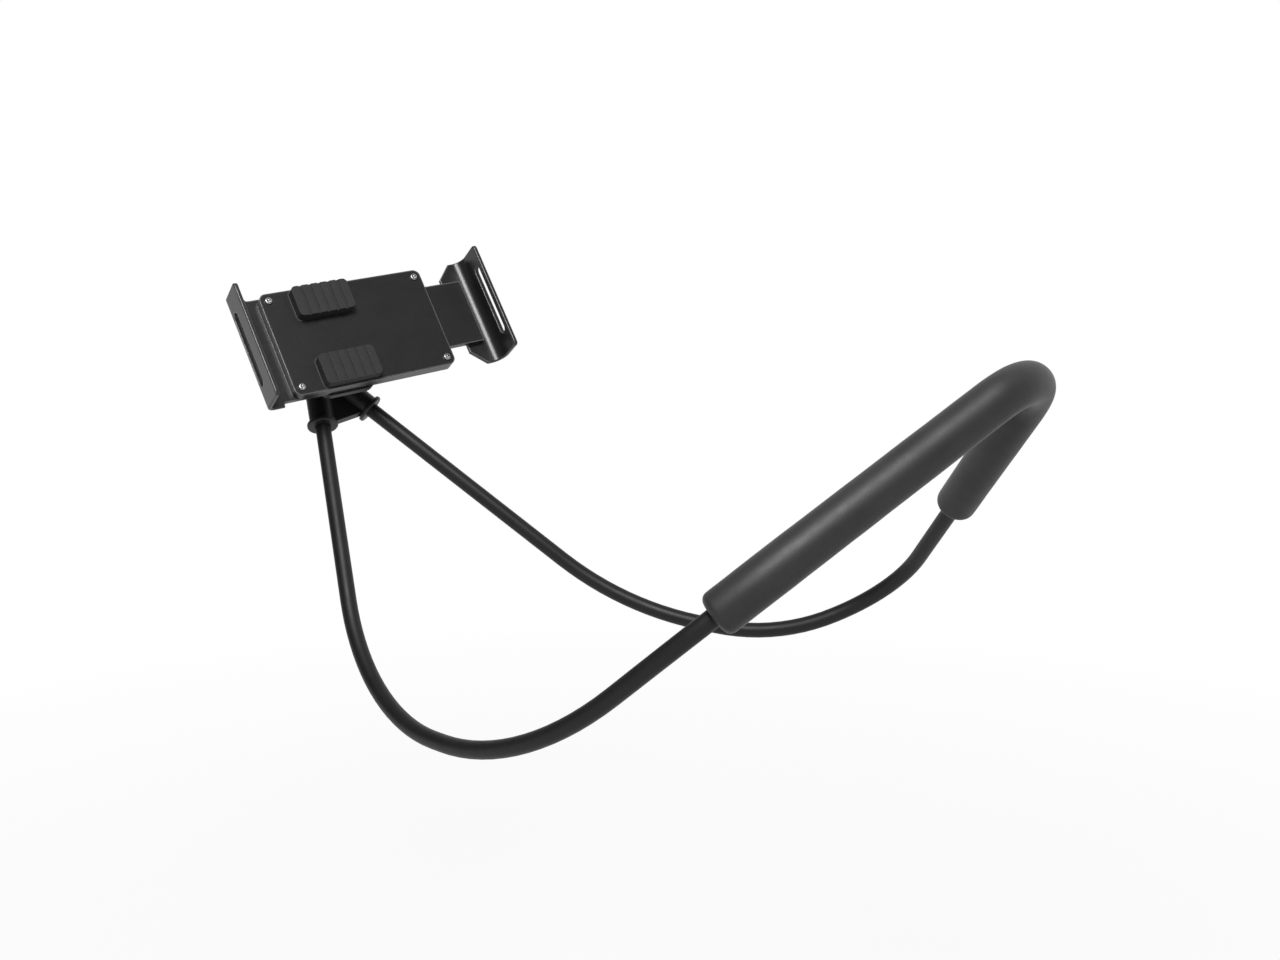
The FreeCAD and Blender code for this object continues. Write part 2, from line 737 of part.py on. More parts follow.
def lock_ring():
    inner = boss_diameter / 2 + ring_running_fit
    outer = inner + ring_wall
    start = housing_back + ring_base_gap
    lip_start = boss_end + ring_lip_gap
    finish = lip_start + ring_lip_thickness
    profile = [
        V(inner, start, 0),
        V(outer - ring_edge_chamfer, start, 0),
        V(outer, start + ring_edge_chamfer, 0),
        V(outer, finish - ring_edge_chamfer, 0),
        V(outer - ring_edge_chamfer, finish, 0),
        V(ring_mouth_diameter / 2, finish, 0),
        V(ring_mouth_diameter / 2, lip_start, 0),
        V(inner, lip_start, 0),
    ]
    ring = Part.Face(wire_of(profile)).revolve(V(), V(0, 1, 0), 360)
    grips = []
    for i in range(ring_grip_count):
        angle = math.radians(360.0 * i / ring_grip_count)
        reach = outer + ring_grip_diameter / 4
        place = V(reach * math.cos(angle), start - 1, reach * math.sin(angle))
        grips.append(Part.makeCylinder(ring_grip_diameter / 2, finish - start + 2, place, V(0, 1, 0)))
    ring = cut(ring, grips).Solids[0]
    return in_clamp(ring.translated(V(ball_on_clamp.x, 0, ball_on_clamp.z)))


nodes = {
    "neck_pad": neck_pad(),
    "arm_jacket": arm_jacket(),
    "arm_core": arm_core(),
    "yoke": yoke(),
    "left_collar": collar(socket_directions[0]),
    "right_collar": collar(socket_directions[1]),
    "arm_grub_screws": arm_grub_screws(),
    "ball": ball(),
    "ball_screw": ball_screw(),
    "lock_ring": lock_ring(),
    "socket_housing": socket_housing(),
    "housing_screws": housing_screws(),
    "fixed_jaw": fixed_jaw(),
    "seat_plate": seat_plate(),
    "plate_screws": plate_screws(),
    "upper_rest_pad": rest_pad(1),
    "lower_rest_pad": rest_pad(-1),
    "sliding_jaw": sliding_jaw(),
    "upper_spring": tension_spring(spring_rows[0]),
    "lower_spring": tension_spring(spring_rows[1]),
}

os.makedirs("parts", exist_ok=True)
for name, shape in nodes.items():
    shape.exportStep("parts/" + name + ".step")
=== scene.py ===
"""Models a neck phone holder's foam and springs, finishes its pieces and sets a pale studio round it."""

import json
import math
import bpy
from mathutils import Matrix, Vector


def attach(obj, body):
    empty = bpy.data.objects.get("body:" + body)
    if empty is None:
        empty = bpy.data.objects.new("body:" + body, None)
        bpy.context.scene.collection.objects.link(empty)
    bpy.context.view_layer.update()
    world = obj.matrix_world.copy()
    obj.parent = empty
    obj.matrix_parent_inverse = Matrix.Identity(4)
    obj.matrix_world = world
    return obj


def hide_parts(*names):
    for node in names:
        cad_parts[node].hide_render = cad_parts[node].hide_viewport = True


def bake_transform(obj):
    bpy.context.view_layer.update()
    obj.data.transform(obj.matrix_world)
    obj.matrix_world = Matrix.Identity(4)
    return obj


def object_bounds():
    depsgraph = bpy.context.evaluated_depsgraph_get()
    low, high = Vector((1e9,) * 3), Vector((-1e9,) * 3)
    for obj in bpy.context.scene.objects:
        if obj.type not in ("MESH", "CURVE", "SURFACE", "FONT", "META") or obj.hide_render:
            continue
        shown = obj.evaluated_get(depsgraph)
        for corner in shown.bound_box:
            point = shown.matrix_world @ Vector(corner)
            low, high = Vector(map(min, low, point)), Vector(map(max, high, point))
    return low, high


bl_info = {
    "name": "Neck phone holder",
    "version": (1, 0, 0),
    "blender": (4, 5, 0),
    "location": "3D View > Sidebar > Holder",
    "description": "Models the foam pad and the springs and gives every piece its finish",
    "category": "Object",
}

import bmesh
import bpy
from bpy.props import FloatProperty, FloatVectorProperty, IntProperty, PointerProperty
from mathutils import Quaternion, Vector

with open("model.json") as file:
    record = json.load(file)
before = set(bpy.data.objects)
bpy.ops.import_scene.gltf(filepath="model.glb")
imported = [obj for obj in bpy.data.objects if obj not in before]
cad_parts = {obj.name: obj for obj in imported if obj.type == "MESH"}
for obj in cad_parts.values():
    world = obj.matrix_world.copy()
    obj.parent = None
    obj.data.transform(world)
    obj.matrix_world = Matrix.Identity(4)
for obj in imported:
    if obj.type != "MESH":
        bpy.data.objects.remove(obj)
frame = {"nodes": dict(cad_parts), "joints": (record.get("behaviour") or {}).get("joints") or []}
nodes = frame["nodes"]
cad_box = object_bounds()

# Corners of the arm's route near the nape and their bend radii, in metres, as in the part's source
LEFT_FAR = Vector((-0.125, 0.177, -0.158))
LEFT_BEND = (Vector((-0.117, 0.086, -0.079)), 0.154)
NAPE_BEND = (Vector((0.001, -0.021, 0.024)), 0.032)
RIGHT_BEND = (Vector((0.120, 0.085, -0.118)), 0.064)
RIGHT_FAR = Vector((0.097, 0.147, -0.149))

# A bend takes up no more than this share of the shorter run beside it
BEND_SHARE = 0.499
# Points that are nearer than this, in metres, count as one
NEAR = 1e-6

# How far an edge of the moulded plastics looks rounded, and how wide its paler band of wear and painted
# highlight is, in metres
EDGE_ROUNDING = 0.0006
EDGE_WIDTH = 0.0009
EDGE_SAMPLES = 8

NOISE_DETAIL = 4.0
WHITE = (1.0, 1.0, 1.0, 1.0)
FLOOR_SIDES = 96


class PadSizes(bpy.types.PropertyGroup):
    """Sizes of the foam pad"""

    diameter: FloatProperty(
        name="Diameter", description="Outside diameter of the foam", default=0.020, unit="LENGTH"
    )
    bore: FloatProperty(
        name="Bore", description="Diameter of the hole for the arm", default=0.0088, unit="LENGTH"
    )
    bore_lip: FloatProperty(
        name="Bore lip", description="Chamfer at the mouth of the bore", default=0.0004, unit="LENGTH"
    )
    bore_depth: FloatProperty(
        name="Bore depth", description="How far in the bore is modelled", default=0.008, unit="LENGTH"
    )
    left_length: FloatProperty(
        name="Left length", description="From the nape to the left end", default=0.1785, unit="LENGTH"
    )
    right_length: FloatProperty(
        name="Right length", description="From the nape to the right end", default=0.1135, unit="LENGTH"
    )
    end_round: FloatProperty(
        name="End rounding", description="Radius of the rounded rims", default=0.0036, unit="LENGTH"
    )
    unevenness: FloatProperty(
        name="Unevenness", description="How far the skin waves in and out", default=0.00025, unit="LENGTH"
    )
    wave_size: FloatProperty(
        name="Wave size", description="Size of the waves in the skin", default=0.018, unit="LENGTH"
    )
    ring_gap: FloatProperty(
        name="Ring gap", description="Distance between two rings", default=0.003, unit="LENGTH"
    )
    ring_points: IntProperty(name="Ring points", description="Points round the foam", default=64)
    nape_steps: IntProperty(name="Nape steps", description="Rings in half the nape's bend", default=18)
    rim_steps: IntProperty(name="Rim steps", description="Rings in each rounded rim", default=6)


class SpringSizes(bpy.types.PropertyGroup):
    """Sizes of the two springs that pull the sliding jaw in"""

    diameter: FloatProperty(
        name="Diameter", description="Outside diameter of the coil", default=0.0032, unit="LENGTH"
    )
    wire: FloatProperty(
        name="Wire", description="Thickness of the wire", default=0.0006, unit="LENGTH"
    )
    turns: IntProperty(name="Turns", description="Turns of the coil", default=12)
    turn_points: IntProperty(name="Turn points", description="Points along each turn", default=24)
    wire_points: IntProperty(name="Wire points", description="Points round the wire", default=10)


class Colours(bpy.types.PropertyGroup):
    """Colours of the holder and the studio"""

    foam: FloatVectorProperty(
        name="Foam", description="Skin of the foam pad",
        subtype="COLOR", size=3, default=(0.018, 0.018, 0.0184),
    )
    jacket: FloatVectorProperty(
        name="Jacket", description="Jacket of the arm",
        subtype="COLOR", size=3, default=(0.006, 0.006, 0.006),
    )
    joint: FloatVectorProperty(
        name="Joint", description="Yoke, collars and ball socket",
        subtype="COLOR", size=3, default=(0.006, 0.006, 0.006),
    )
    clamp: FloatVectorProperty(
        name="Clamp", description="Jaws and seat plate",
        subtype="COLOR", size=3, default=(0.009, 0.009, 0.0093),
    )
    rubber: FloatVectorProperty(
        name="Rubber", description="Rest pads",
        subtype="COLOR", size=3, default=(0.011, 0.011, 0.011),
    )
    steel: FloatVectorProperty(
        name="Steel", description="Screws and springs",
        subtype="COLOR", size=3, default=(0.32, 0.32, 0.33),
    )
    studio: FloatVectorProperty(
        name="Studio", description="Floor", subtype="COLOR", size=3, default=(0.65, 0.65, 0.65)
    )


class StudioSettings(bpy.types.PropertyGroup):
    """Camera, floor and light"""

    camera_place: FloatVectorProperty(
        name="Camera place", description="Where the camera stands",
        subtype="TRANSLATION", size=3, default=(-0.5707, -0.1194, 0.0463),
    )
    view_azimuth: FloatProperty(
        name="View azimuth", description="Turn of the view from the +Y axis",
        subtype="ANGLE", default=math.radians(-62.02),
    )
    view_elevation: FloatProperty(
        name="View elevation", description="How far the view looks down",
        subtype="ANGLE", default=math.radians(8.26),
    )
    lens: FloatProperty(name="Lens", description="Focal length", default=36.23, unit="CAMERA")
    sensor: FloatProperty(name="Sensor", description="Sensor's width", default=36.0, unit="CAMERA")
    nearest: FloatProperty(
        name="Nearest", description="Nothing nearer is seen", default=0.01, unit="LENGTH"
    )
    floor_drop: FloatProperty(
        name="Floor drop", description="From the lowest point to the floor", default=0.26, unit="LENGTH"
    )
    floor_radius: FloatProperty(
        name="Floor radius", description="Radius of the floor", default=12.0, unit="LENGTH"
    )
    fade_start: FloatProperty(
        name="Fade start", description="Where the floor starts to fade", default=0.35, unit="LENGTH"
    )
    fade_end: FloatProperty(
        name="Fade end", description="Where the floor is plain white", default=1.2, unit="LENGTH"
    )
    sky_strength: FloatProperty(
        name="Sky strength", description="Light from all round", default=0.20
    )
    room_strength: FloatProperty(
        name="Room strength", description="The room behind the camera, in reflections", default=0.10
    )
    backdrop_turn: FloatProperty(
        name="Backdrop turn", description="Turn of the white backdrop to the camera's right",
        subtype="ANGLE", default=math.radians(35),
    )
    key_place: FloatVectorProperty(
        name="Key place", description="Where the soft light hangs",
        subtype="TRANSLATION", size=3, default=(-0.73, -0.11, 0.85),
    )
    key_size: FloatProperty(
        name="Key size", description="Side of the square soft light", default=0.52, unit="LENGTH"
    )
    key_power: FloatProperty(
        name="Key power", description="Power of the soft light", default=25.0, unit="POWER"
    )


class HolderSettings(bpy.types.PropertyGroup):
    """All settings of the holder"""

    pad: PointerProperty(type=PadSizes, name="Pad", description="Sizes of the foam pad")
    springs: PointerProperty(type=SpringSizes, name="Springs", description="Sizes of the springs")
    colours: PointerProperty(type=Colours, name="Colours", description="Colours of the pieces")
    studio: PointerProperty(type=StudioSettings, name="Studio", description="Camera, floor, light")


def deselect():
    """Leaves object mode with nothing selected."""
    if bpy.context.object and bpy.context.object.mode != "OBJECT":
        bpy.ops.object.mode_set(mode="OBJECT")
    bpy.ops.object.select_all(action="DESELECT")


def select_only(piece):
    """Makes a piece the active one and the only one selected."""
    deselect()
    bpy.context.view_layer.objects.active = piece
    piece.select_set(True)


def apply_modifiers(piece):
    """Puts a piece's modifiers into its mesh."""
    select_only(piece)
    for modifier in list(piece.modifiers):
        bpy.ops.object.modifier_apply(modifier=modifier.name)


def settle(piece, name, smooth_angle):
    """Names a piece, puts its place into its mesh and smooths its shading."""
    select_only(piece)
    bpy.ops.object.transform_apply(location=True, rotation=True, scale=True)
    bpy.ops.object.shade_smooth_by_angle(angle=smooth_angle)
    piece.name = name
    piece.data.name = name


def bend(before, corner, after, radius):
    """The arc that rounds a corner: its start, end, centre, axis, angle and radius."""
    back = before - corner
    ahead = after - corner
    turn = math.pi - back.angle(ahead)
    reach = min(radius * math.tan(turn / 2), BEND_SHARE * min(back.length, ahead.length))
    start = corner + back.normalized() * reach
    end = corner + ahead.normalized() * reach
    axis = (corner - start).cross(ahead).normalized()
    centre = start + axis.cross((corner - start).normalized()) * (reach / math.tan(turn / 2))
    return {
        "start": start,
        "end": end,
        "centre": centre,
        "axis": axis,
        "angle": turn,
        "radius": (start - centre).length,
    }


def extrude_run(vector, steps):
    """Draws the selected ring out along a straight run."""
    for _ in range(steps):
        bpy.ops.mesh.extrude_region_move(TRANSFORM_OT_translate={"value": vector / steps})


def extrude_ring(vector, scale, centre):
    """Draws the selected ring out and changes its size about its new centre."""
    bpy.ops.mesh.extrude_region_move(TRANSFORM_OT_translate={"value": vector})
    bpy.ops.transform.resize(value=(scale, scale, scale), center_override=centre)


def select_ring(piece, centre, normal, reach):
    """Selects the ring of a tube that lies in a plane, within reach of its centre."""
    mesh = bmesh.from_edit_mesh(piece.data)
    for vertex in mesh.verts:
        offset = vertex.co - centre
        vertex.select_set(abs(offset.dot(normal)) < NEAR and offset.length < reach)
    mesh.select_flush(True)
    bmesh.update_edit_mesh(piece.data)


def turn_ring(arc, angle, steps):
    """Turns the selected ring about an arc's centre. The operator counts angles backwards."""
    bpy.ops.mesh.spin(steps=steps, angle=-angle, center=arc["centre"], axis=arc["axis"])


def foam_end(centre, along, sizes):
    """Rounds the selected end of the foam and turns it into the bore."""
    radius = sizes.diameter / 2
    bore_radius = sizes.bore / 2
    here = centre.copy()
    size = radius
    for step in range(1, sizes.rim_steps + 1):
        angle = math.pi / 2 * step / sizes.rim_steps
        last = math.pi / 2 * (step - 1) / sizes.rim_steps
        move = along * sizes.end_round * (math.sin(angle) - math.sin(last))
        here = here + move
        new_size = radius - sizes.end_round * (1 - math.cos(angle))
        extrude_ring(move, new_size / size, here)
        size = new_size
    for new_size in ((size + bore_radius) / 2, bore_radius + sizes.bore_lip):
        extrude_ring(Vector((0, 0, 0)), new_size / size, here)
        size = new_size
    inward = along * -sizes.bore_lip
    extrude_ring(inward, bore_radius / size, here + inward)
    extrude_run(along * -sizes.bore_depth, 2)


def foam_leg(nape_arc, start, next_arc, way, length, sizes):
    """Draws a leg from the nape's middle: half a bend, a straight run, some of the next bend."""
    half = nape_arc["angle"] / 2
    turn_ring(nape_arc, way * half, sizes.nape_steps)
    run = (next_arc["start"] if way > 0 else next_arc["end"]) - start
    along = run.normalized()
    rest = length - sizes.end_round - half * nape_arc["radius"]
    straight = min(run.length, rest)
    extrude_run(along * straight, max(2, round(straight / sizes.ring_gap)))
    end = start + along * straight
    if rest > straight:
        angle = way * (rest - straight) / next_arc["radius"]
        turn_ring(next_arc, angle, max(2, round((rest - straight) / sizes.ring_gap)))
        turn = Quaternion(next_arc["axis"], angle)
        end = next_arc["centre"] + turn @ (end - next_arc["centre"])
        along = turn @ along
    foam_end(end, along, sizes)


class HOLDER_OT_foam_pad(bpy.types.Operator):
    """Model the foam pad along the nape's bend"""

    bl_idname = "holder.foam_pad"
    bl_label = "Foam pad"

    def execute(self, context):
        sizes = context.scene.holder.pad
        left, nape, right = LEFT_BEND, NAPE_BEND, RIGHT_BEND
        nape_arc = bend(left[0], nape[0], right[0], nape[1])
        left_arc = bend(LEFT_FAR, left[0], nape[0], left[1])
        right_arc = bend(nape[0], right[0], RIGHT_FAR, right[1])
        to_middle = Quaternion(nape_arc["axis"], nape_arc["angle"] / 2)
        middle = nape_arc["centre"] + to_middle @ (nape_arc["start"] - nape_arc["centre"])
        forward = to_middle @ (nape[0] - nape_arc["start"]).normalized()
        deselect()
        bpy.ops.mesh.primitive_circle_add(
            vertices=sizes.ring_points, radius=sizes.diameter / 2, location=middle,
            rotation=forward.to_track_quat("Z", "Y").to_euler(),
        )
        piece = context.object
        bpy.ops.object.transform_apply(location=True, rotation=True, scale=True)
        bpy.ops.object.mode_set(mode="EDIT")
        bpy.ops.mesh.select_mode(type="VERT")
        bpy.ops.mesh.select_all(action="SELECT")
        foam_leg(nape_arc, nape_arc["end"], right_arc, 1, sizes.right_length, sizes)
        bpy.ops.mesh.select_all(action="DESELECT")
        select_ring(piece, middle, forward, sizes.diameter)
        foam_leg(nape_arc, nape_arc["start"], left_arc, -1, sizes.left_length, sizes)
        bpy.ops.mesh.select_all(action="SELECT")
        bpy.ops.mesh.remove_doubles(threshold=NEAR)
        bpy.ops.mesh.normals_make_consistent(inside=False)
        bpy.ops.object.mode_set(mode="OBJECT")
        waves = bpy.data.textures.new("foam waves", "CLOUDS")
        waves.noise_scale = sizes.wave_size
        uneven = piece.modifiers.new("uneven skin", "DISPLACE")
        uneven.texture = waves
        uneven.texture_coords = "LOCAL"
        uneven.strength = sizes.unevenness
        uneven.mid_level = 0.5
        smooth = piece.modifiers.new("smooth skin", "SUBSURF")
        smooth.levels = 1
        smooth.render_levels = 1
        apply_modifiers(piece)
        settle(piece, "foam_pad", math.radians(60))
        piece.data.materials.append(foam_skin(context.scene.holder.colours.foam))
        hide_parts("neck_pad")
        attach(piece, "neck_arm")
        return {"FINISHED"}


def ends_along(node, along):
    """Middles of a long node's two ends."""
    points = [vertex.co for vertex in node.data.vertices]
    middle = sum(points, Vector()) / len(points)
    reach = [(point - middle).dot(along) for point in points]
    return middle + along * min(reach), middle + along * max(reach)


def wind_spring(start, end, sizes):
    """Winds a coil from one point to another."""
    run = end - start
    deselect()
    bpy.ops.mesh.primitive_circle_add(
        vertices=sizes.wire_points, radius=sizes.wire / 2,
        location=((sizes.diameter - sizes.wire) / 2, 0.0, 0.0), rotation=(math.pi / 2, 0.0, 0.0),
    )
    piece = bpy.context.object
    bpy.ops.object.transform_apply(location=True, rotation=True, scale=True)
    winding = piece.modifiers.new("winding", "SCREW")
    winding.axis = "Z"
    winding.screw_offset = (run.length - sizes.wire) / sizes.turns
    winding.iterations = sizes.turns
    winding.steps = sizes.turn_points
    winding.render_steps = sizes.turn_points
    apply_modifiers(piece)
    bpy.ops.object.mode_set(mode="EDIT")
    bpy.ops.mesh.select_all(action="SELECT")
    bpy.ops.mesh.fill_holes(sides=0)
    bpy.ops.mesh.normals_make_consistent(inside=False)
    bpy.ops.object.mode_set(mode="OBJECT")
    piece.location = start + run.normalized() * sizes.wire / 2
    piece.rotation_euler = run.to_track_quat("Z", "X").to_euler()
    return piece


class HOLDER_OT_springs(bpy.types.Operator):
    """Wind the two springs, which stretch with the sliding jaw"""

    bl_idname = "holder.springs"
    bl_label = "Springs"

    def execute(self, context):
        settings = context.scene.holder
        slide = next(joint for joint in frame["joints"] if joint["name"] == "jaw_slide")
        steel = plated_steel(settings.colours.steel)
        for name in ("upper_spring", "lower_spring"):
            start, end = ends_along(nodes[name], Vector(slide["axis"]).normalized())
            piece = wind_spring(start, end, settings.springs)
            settle(piece, "wound_" + name, math.radians(50))
            piece.data.materials.append(steel)
            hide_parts(name)
            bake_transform(piece)
        return {"FINISHED"}


def new_finish(name):
    """A material with its node tree, its shader and the place of a point on the piece."""
    material = bpy.data.materials.new(name)
    material.use_nodes = True
    tree = material.node_tree
    place = tree.nodes.new("ShaderNodeTexCoord")
    return material, tree, tree.nodes["Principled BSDF"], place.outputs["Object"]


def noise(tree, place, scale):
    """A cloudy noise, finer where the scale is larger."""
    node = tree.nodes.new("ShaderNodeTexNoise")
    node.inputs["Scale"].default_value = scale
    node.inputs["Detail"].default_value = NOISE_DETAIL
    tree.links.new(place, node.inputs["Vector"])
    return node.outputs["Fac"]


def spread(tree, value, low, high, from_low=0.3, from_high=0.7):
    """Maps a value onto a range. Most of a noise lies between the two defaults."""
    node = tree.nodes.new("ShaderNodeMapRange")
    node.inputs["From Min"].default_value = from_low
    node.inputs["From Max"].default_value = from_high
    node.inputs["To Min"].default_value = low
    node.inputs["To Max"].default_value = high
    tree.links.new(value, node.inputs["Value"])
    return node.outputs["Result"]


def tint(colour, factor):
    """A colour made darker or paler."""
    return (*(min(1.0, channel * factor) for channel in colour), 1.0)


def clouds(tree, place, scale, dark, pale):
    """A colour that drifts between two others."""
    node = tree.nodes.new("ShaderNodeMix")
    node.data_type = "RGBA"
    node.inputs["A"].default_value = dark
    node.inputs["B"].default_value = pale
    tree.links.new(spread(tree, noise(tree, place, scale), 0.0, 1.0), node.inputs["Factor"])
    return node.outputs["Result"]


def bump(tree, height, strength, distance, normal=None):
    """A fine relief, on top of another normal if there is one."""
    node = tree.nodes.new("ShaderNodeBump")
    node.inputs["Strength"].default_value = strength
    node.inputs["Distance"].default_value = distance
    tree.links.new(height, node.inputs["Height"])
    if normal:
        tree.links.new(normal, node.inputs["Normal"])
    return node.outputs["Normal"]


def foam_skin(colour):
    """Smooth-skinned foam: matte and dark, with fine pores."""
    material, tree, shader, place = new_finish("foam skin")
    body = clouds(tree, place, 60.0, tint(colour, 0.88), tint(colour, 1.12))
    tree.links.new(body, shader.inputs["Base Color"])
    pores = tree.nodes.new("ShaderNodeTexVoronoi")
    pores.inputs["Scale"].default_value = 1500.0
    tree.links.new(place, pores.inputs["Vector"])
    skin = bump(tree, pores.outputs["Distance"], strength=0.10, distance=0.0003)
    skin = bump(tree, noise(tree, place, 420.0), strength=0.06, distance=0.0004, normal=skin)
    tree.links.new(skin, shader.inputs["Normal"])
    rough = spread(tree, noise(tree, place, 180.0), 0.47, 0.53)
    tree.links.new(rough, shader.inputs["Roughness"])
    shader.inputs["Specular IOR Level"].default_value = 0.28
    shader.inputs["Sheen Weight"].default_value = 0.04
    shader.inputs["Sheen Roughness"].default_value = 0.5
    return material


def arm_jacket_finish(colour):
    """Smooth satin jacket with a faint grain."""
    material, tree, shader, place = new_finish("arm jacket")
    body = clouds(tree, place, 45.0, tint(colour, 0.85), tint(colour, 1.2))
    tree.links.new(body, shader.inputs["Base Color"])
    rough = spread(tree, noise(tree, place, 130.0), 0.46, 0.52)
    tree.links.new(rough, shader.inputs["Roughness"])
    grain = bump(tree, noise(tree, place, 700.0), strength=0.03, distance=0.0002)
    tree.links.new(grain, shader.inputs["Normal"])
    shader.inputs["Specular IOR Level"].default_value = 0.26
    return material


def moulded_plastic(name, colour, roughness, grain, wear_and_highlight):
    """Moulded plastic with a fine grain, and edges painted paler by a factor: partly wear, partly a
    painted highlight on the rims.
    """
    material, tree, shader, place = new_finish(name)
    rounded = tree.nodes.new("ShaderNodeBevel")
    rounded.samples = EDGE_SAMPLES
    rounded.inputs["Radius"].default_value = EDGE_ROUNDING
    edges = tree.nodes.new("ShaderNodeAmbientOcclusion")
    edges.inside = True
    edges.only_local = True
    edges.samples = EDGE_SAMPLES
    edges.inputs["Distance"].default_value = EDGE_WIDTH
    # Edges found by occlusion inside the piece are painted paler: partly wear, partly a painted highlight
    # on the rims.
    worn_and_highlit = spread(tree, edges.outputs["AO"], 1.0, 0.0, from_low=0.55, from_high=0.95)
    mix = tree.nodes.new("ShaderNodeMix")
    mix.data_type = "RGBA"
    tree.links.new(worn_and_highlit, mix.inputs["Factor"])
    body = clouds(tree, place, 80.0, tint(colour, 0.88), tint(colour, 1.15))
    tree.links.new(body, mix.inputs["A"])
    mix.inputs["B"].default_value = tint(colour, wear_and_highlight)
    tree.links.new(mix.outputs["Result"], shader.inputs["Base Color"])
    rough = spread(tree, noise(tree, place, 600.0), roughness - 0.02, roughness + 0.02)
    tree.links.new(rough, shader.inputs["Roughness"])
    fine = noise(tree, place, grain)
    skin = bump(tree, fine, strength=0.12, distance=0.0002, normal=rounded.outputs["Normal"])
    tree.links.new(skin, shader.inputs["Normal"])
    shader.inputs["Specular IOR Level"].default_value = 0.38
    return material


def plated_steel(colour):
    """Zinc-plated steel, slightly uneven in colour and shine."""
    material, tree, shader, place = new_finish("plated steel")
    body = clouds(tree, place, 500.0, tint(colour, 0.8), tint(colour, 1.15))
    tree.links.new(body, shader.inputs["Base Color"])
    rough = spread(tree, noise(tree, place, 900.0), 0.28, 0.42)
    tree.links.new(rough, shader.inputs["Roughness"])
    shader.inputs["Metallic"].default_value = 1.0
    return material


def dress(names, material):
    """Gives CAD nodes a finish."""
    for name in names:
        nodes[name].material_slots[0].material = material


class HOLDER_OT_arm_finish(bpy.types.Operator):
    """Finish the arm's jacket and core"""

    bl_idname = "holder.arm_finish"
    bl_label = "Arm"

    def execute(self, context):
        colours = context.scene.holder.colours
        dress(("arm_jacket",), arm_jacket_finish(colours.jacket))
        dress(("arm_core",), plated_steel(colours.steel))
        return {"FINISHED"}


class HOLDER_OT_joint_finish(bpy.types.Operator):
    """Finish the yoke and the ball joint"""

    bl_idname = "holder.joint_finish"
    bl_label = "Yoke and ball joint"

    def execute(self, context):
        colours = context.scene.holder.colours
        # Edges of the yoke, collars and socket are painted four times paler: partly wear, partly a
        # painted highlight.
        body = moulded_plastic("joint plastic", colours.joint, roughness=0.48, grain=1500.0, wear_and_highlight=4.0)
        dress(("yoke", "left_collar", "right_collar", "socket_housing", "lock_ring"), body)
        ball = moulded_plastic("ball plastic", colours.joint, roughness=0.24, grain=900.0, wear_and_highlight=1.2)
        dress(("ball",), ball)
        steel = plated_steel(colours.steel)
        dress(("arm_grub_screws", "ball_screw", "housing_screws"), steel)
        return {"FINISHED"}


class HOLDER_OT_clamp_finish(bpy.types.Operator):
    """Finish the jaws, the seat plate, its screws and the rest pads"""

    bl_idname = "holder.clamp_finish"
    bl_label = "Clamp"

    def execute(self, context):
        colours = context.scene.holder.colours
        # The clamp's edges are painted eleven times paler: mostly a painted highlight along the jaws'
        # rims, partly wear.
        body = moulded_plastic("clamp plastic", colours.clamp, roughness=0.32, grain=1300.0, wear_and_highlight=11.0)
        dress(("fixed_jaw", "sliding_jaw", "seat_plate"), body)
        soft = moulded_plastic("rest rubber", colours.rubber, roughness=0.78, grain=800.0, wear_and_highlight=1.3)
        dress(("upper_rest_pad", "lower_rest_pad"), soft)
        dress(("plate_screws",), plated_steel(colours.steel))
        return {"FINISHED"}


def mix_shaders(tree, factor, first, second):
    """A shader that goes from the first to the second as the factor goes from 0 to 1."""
    node = tree.nodes.new("ShaderNodeMixShader")
    tree.links.new(factor, node.inputs["Fac"])
    tree.links.new(first, node.inputs[1])
    tree.links.new(second, node.inputs[2])
    return node.outputs["Shader"]


def seen_white(tree):
    """1 for what the eye, a reflection or glass sees, and 0 for light."""
    path = tree.nodes.new("ShaderNodeLightPath")
    seen = path.outputs["Is Camera Ray"]
    for ray in ("Is Glossy Ray", "Is Transmission Ray"):
        either = tree.nodes.new("ShaderNodeMath")
        either.operation = "MAXIMUM"
        tree.links.new(seen, either.inputs[0])
        tree.links.new(path.outputs[ray], either.inputs[1])
        seen = either.outputs["Value"]
    return seen


def floor_finish(colour, fade_start, fade_end):
    """Pale floor that keeps a shadow near the holder and fades to plain white farther out."""
    material, tree, shader, place = new_finish("studio floor")
    shader.inputs["Base Color"].default_value = (*colour, 1.0)
    shader.inputs["Roughness"].default_value = 0.9
    shader.inputs["Specular IOR Level"].default_value = 0.0
    reach = tree.nodes.new("ShaderNodeVectorMath")
    reach.operation = "LENGTH"
    tree.links.new(place, reach.inputs[0])
    fade = spread(tree, reach.outputs["Value"], 0.90, 1.0, from_low=fade_start, from_high=fade_end)
    seen = tree.nodes.new("ShaderNodeMath")
    seen.operation = "MULTIPLY"
    tree.links.new(seen_white(tree), seen.inputs[0])
    tree.links.new(fade, seen.inputs[1])
    glow = tree.nodes.new("ShaderNodeEmission")
    glow.inputs["Color"].default_value = WHITE
    shade = shader.outputs["BSDF"]
    mixed = mix_shaders(tree, seen.outputs["Value"], shade, glow.outputs["Emission"])
    tree.links.new(mixed, tree.nodes["Material Output"].inputs["Surface"])
    return material


def background(tree, strength):
    """An even white of some strength."""
    node = tree.nodes.new("ShaderNodeBackground")
    node.inputs["Color"].default_value = WHITE
    node.inputs["Strength"].default_value = strength
    return node.outputs["Background"]


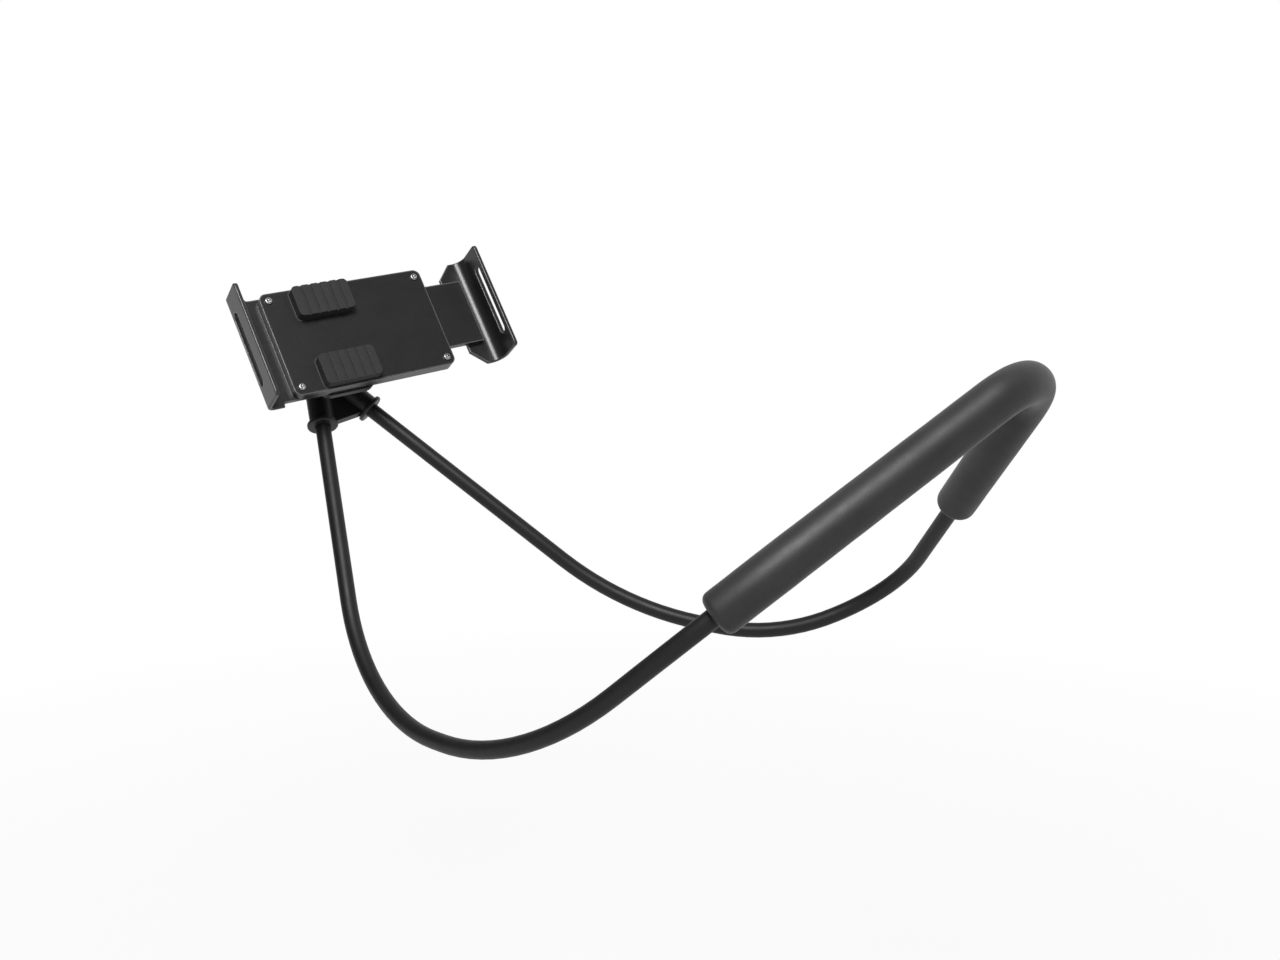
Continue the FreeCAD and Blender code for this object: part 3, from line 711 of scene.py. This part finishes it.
def studio_world(backdrop_way, sky_strength, room_strength):
    """White to the eye and an even light, with a white backdrop and a dim room in reflections."""
    world = bpy.data.worlds.new("studio")
    world.use_nodes = True
    tree = world.node_tree
    tree.nodes.remove(tree.nodes["Background"])
    place = tree.nodes.new("ShaderNodeTexCoord")
    ahead = tree.nodes.new("ShaderNodeVectorMath")
    ahead.operation = "DOT_PRODUCT"
    tree.links.new(place.outputs["Object"], ahead.inputs[0])
    ahead.inputs[1].default_value = backdrop_way
    backdrop = spread(tree, ahead.outputs["Value"], 0.0, 1.0, from_low=-0.1, from_high=0.6)
    white = background(tree, 1.0)
    room = mix_shaders(tree, backdrop, background(tree, room_strength), white)
    path = tree.nodes.new("ShaderNodeLightPath")
    lit = mix_shaders(tree, path.outputs["Is Glossy Ray"], background(tree, sky_strength), room)
    lit = mix_shaders(tree, path.outputs["Is Transmission Ray"], lit, white)
    lit = mix_shaders(tree, path.outputs["Is Camera Ray"], lit, white)
    tree.links.new(lit, tree.nodes["World Output"].inputs["Surface"])
    return world


def soft_light(name, place, aim, side, power):
    """Hangs a square light that faces a point."""
    bpy.ops.object.light_add(type="AREA", location=place)
    lamp = bpy.context.object
    lamp.name = name
    lamp.data.shape = "SQUARE"
    lamp.data.size = side
    lamp.data.energy = power
    lamp.rotation_euler = (Vector(aim) - Vector(place)).to_track_quat("-Z", "Y").to_euler()


class HOLDER_OT_stage(bpy.types.Operator):
    """Set the floor, the light and the camera"""

    bl_idname = "holder.stage"
    bl_label = "Studio"

    def execute(self, context):
        studio = context.scene.holder.studio
        colours = context.scene.holder.colours
        middle = [(low + high) / 2 for low, high in zip(*cad_box)]
        floor_height = cad_box[0][2] - studio.floor_drop
        deselect()
        bpy.ops.mesh.primitive_circle_add(
            vertices=FLOOR_SIDES, radius=studio.floor_radius, fill_type="NGON",
            location=(middle[0], middle[1], floor_height),
        )
        floor = context.object
        floor.name = "floor"
        floor.data.materials.append(floor_finish(colours.studio, studio.fade_start, studio.fade_end))
        across = math.cos(studio.view_elevation)
        view = Vector((
            -math.sin(studio.view_azimuth) * across,
            math.cos(studio.view_azimuth) * across,
            -math.sin(studio.view_elevation),
        ))
        turn = Quaternion((0.0, 0.0, 1.0), -studio.backdrop_turn)
        context.scene.world = studio_world(turn @ view, studio.sky_strength, studio.room_strength)
        soft_light("key light", studio.key_place, middle, studio.key_size, studio.key_power)
        bpy.ops.object.camera_add(location=studio.camera_place)
        camera = context.object
        camera.rotation_euler = view.to_track_quat("-Z", "Y").to_euler()
        camera.data.sensor_fit = "HORIZONTAL"
        camera.data.sensor_width = studio.sensor
        camera.data.lens = studio.lens
        camera.data.clip_start = studio.nearest
        context.scene.camera = camera
        context.scene.view_settings.view_transform = "Standard"
        return {"FINISHED"}


class HOLDER_PT_panel(bpy.types.Panel):
    """Lists the holder's pieces"""

    bl_idname = "HOLDER_PT_panel"
    bl_label = "Neck phone holder"
    bl_space_type = "VIEW_3D"
    bl_region_type = "UI"
    bl_category = "Holder"

    def draw(self, context):
        for operator in OPERATORS:
            self.layout.operator(operator.bl_idname)


OPERATORS = (
    HOLDER_OT_foam_pad,
    HOLDER_OT_springs,
    HOLDER_OT_arm_finish,
    HOLDER_OT_joint_finish,
    HOLDER_OT_clamp_finish,
    HOLDER_OT_stage,
)
SETTINGS = (PadSizes, SpringSizes, Colours, StudioSettings, HolderSettings)
CLASSES = (*SETTINGS, *OPERATORS, HOLDER_PT_panel)


def register():
    for cls in CLASSES:
        bpy.utils.register_class(cls)
    bpy.types.Scene.holder = PointerProperty(type=HolderSettings)


def unregister():
    del bpy.types.Scene.holder
    for cls in reversed(CLASSES):
        bpy.utils.unregister_class(cls)


def main():
    register()
    bpy.ops.holder.foam_pad()
    bpy.ops.holder.springs()
    bpy.ops.holder.arm_finish()
    bpy.ops.holder.joint_finish()
    bpy.ops.holder.clamp_finish()
    bpy.ops.holder.stage()


if __name__ == "__main__":
    main()
